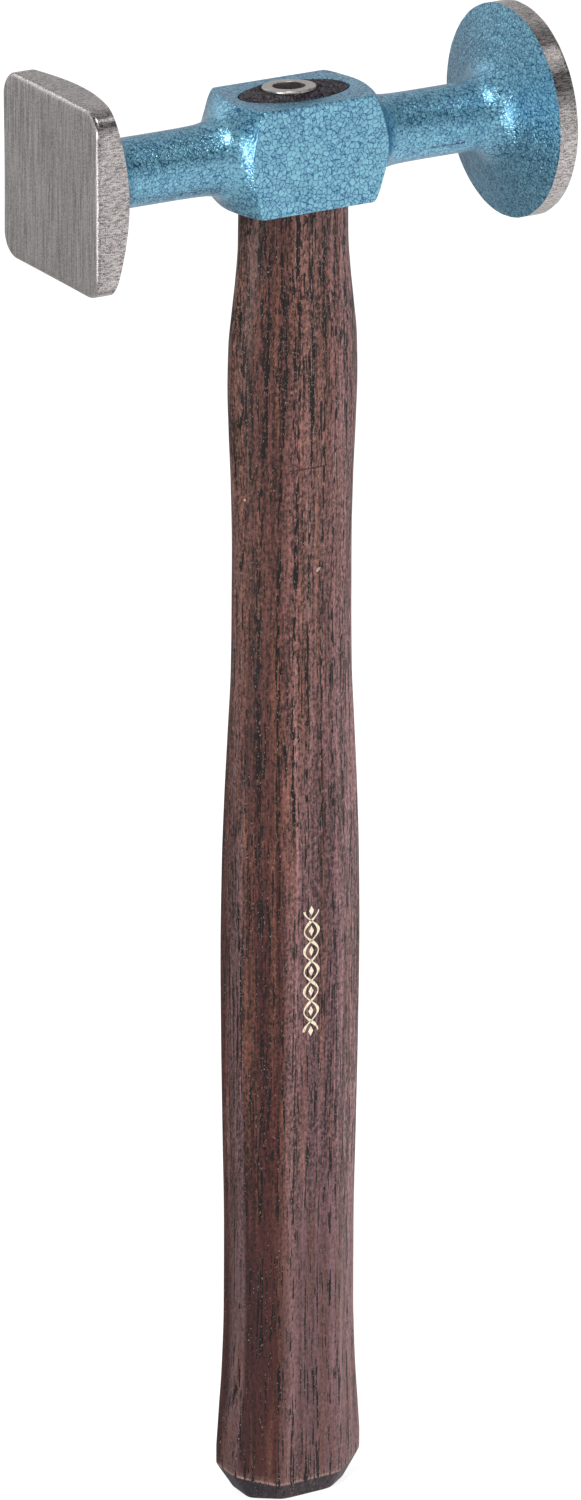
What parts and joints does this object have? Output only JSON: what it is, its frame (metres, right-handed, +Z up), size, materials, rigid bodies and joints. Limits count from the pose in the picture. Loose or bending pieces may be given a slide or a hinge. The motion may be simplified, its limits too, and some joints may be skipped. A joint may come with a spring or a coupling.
{
  "type": "planishing hammer",
  "caption": "Planishing hammer for sheet metal: forged head with a square and a round face on slim necks, fixed by a ring wedge to a shaped hickory handle.",
  "frame": {"origin": "centre of the handle's flat butt face, which the hammer stands on", "axes": "+Z up along the handle to the head, -X towards the square face, +X towards the round face, Y across the broad sides"},
  "size_m": [0.1153, 0.0464, 0.3316],
  "materials": {
    "painted_steel": "blue hammertone paint, with the faces and their edges ground bare",
    "stained_hickory": "dark brown stain, oiled, open pores",
    "bare_steel": "bright turned steel"
  },
  "bodies": {
    "root": {"head": "painted_steel", "handle": "stained_hickory", "ring_wedge": "bare_steel"}
  },
  "joints": []
}
